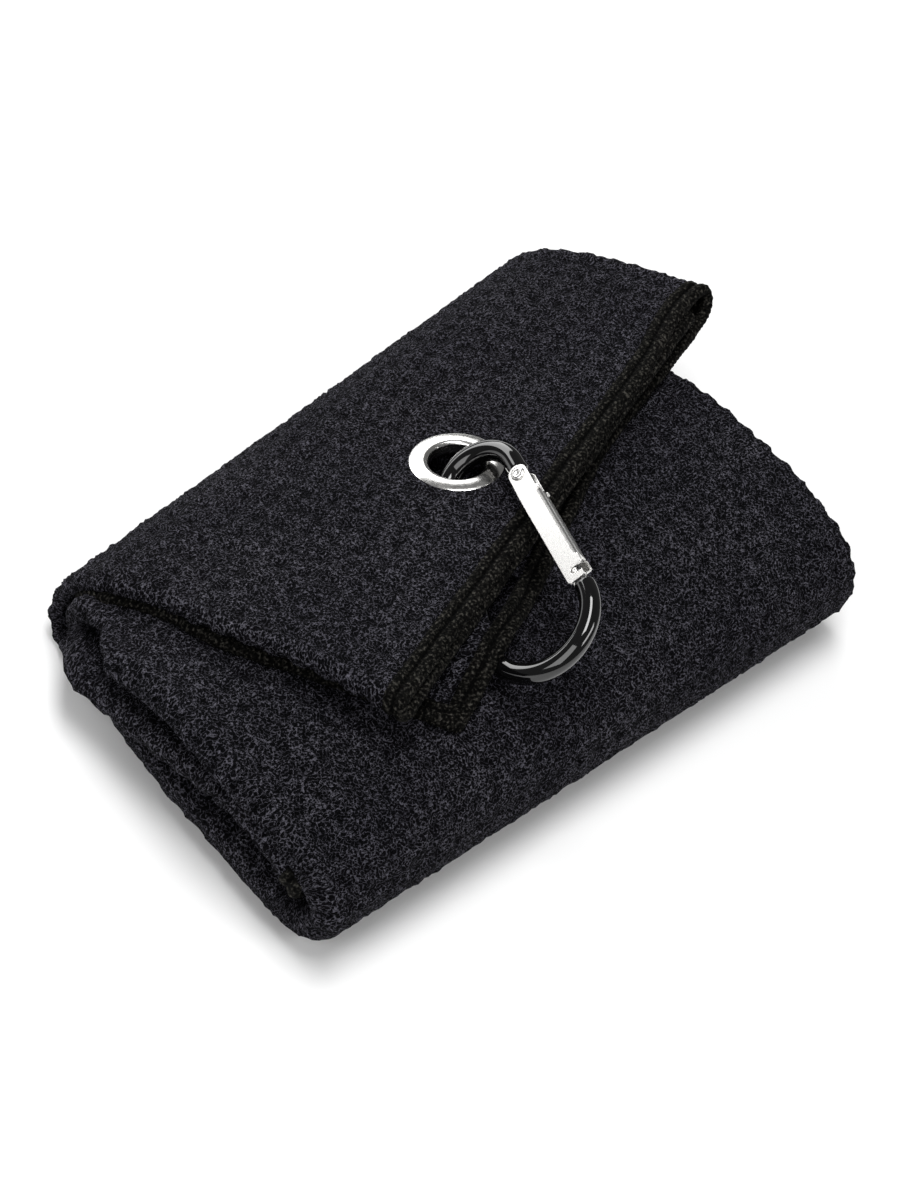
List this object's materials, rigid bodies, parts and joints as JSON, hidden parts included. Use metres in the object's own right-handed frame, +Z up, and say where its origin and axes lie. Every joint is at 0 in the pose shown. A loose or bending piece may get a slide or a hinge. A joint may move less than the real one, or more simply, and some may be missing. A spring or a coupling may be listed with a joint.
{
  "type": "golf towel",
  "caption": "Waffle-weave towel folded into a flat bundle, its free end laid over as a flap with an eyelet and a spring-gate clip.",
  "frame": {"origin": "middle of the flat underside, on the surface that the towel lies on", "axes": "+X along the front fold, to the right of someone facing the front fold; +Y from the front fold to the back fold; +Z up"},
  "size_m": [0.1978, 0.1269, 0.0594],
  "materials": {
    "cloth": "matte waffle-weave microfibre, near-black navy",
    "binding": "matte woven edge binding with two rows of stitching",
    "nickel": "polished nickel plate",
    "black_enamel": "gloss black enamel on bent rod",
    "gate_steel": "satin pressed sheet"
  },
  "bodies": {
    "bundle": {"top_panel": "cloth", "front_fold": "cloth", "bottom_panel": "cloth", "inner_fold": "cloth", "inner_panel": "cloth", "inner_end_hem": "binding", "back_fold": "cloth"},
    "flap": {"flap_outer_layer": "cloth", "flap_middle_layer": "cloth", "flap_lower_layer": "cloth", "flap_left_fold": "cloth", "flap_right_loop": "cloth", "outer_end_hem": "binding", "middle_end_hem": "binding", "lower_end_hem": "binding", "lower_side_hem": "binding", "eyelet": "nickel", "eyelet_washer": "nickel"},
    "carabiner": {"carabiner_rod": "black_enamel", "pivot_rivet": "gate_steel", "latch_pin": "gate_steel"},
    "gate": {"gate_channel": "gate_steel", "gate_spring": "gate_steel"}
  },
  "joints": [
    {"name": "flap_lift", "type": "hinge", "parent": "bundle", "child": "flap", "pos_m": [-0.00607, 0.04948, 0.03143], "axis": [-0.9925, -0.1219, 0], "range_deg": [0, 50]},
    {"name": "clip_swing", "type": "hinge", "parent": "flap", "child": "carabiner", "pos_m": [0.0103, 0.0202, 0.0408], "axis": [-0.0326, 0.2652, 0.9636], "range_deg": [0, 15]},
    {"name": "gate_hinge", "type": "hinge", "parent": "carabiner", "child": "gate", "pos_m": [0.01212, 0.00348, 0.05114], "axis": [0.621, -0.3694, -0.6913], "range_deg": [0, 18], "stiffness_Nm_per_rad": 0.05, "springref_deg": -11.46}
  ]
}
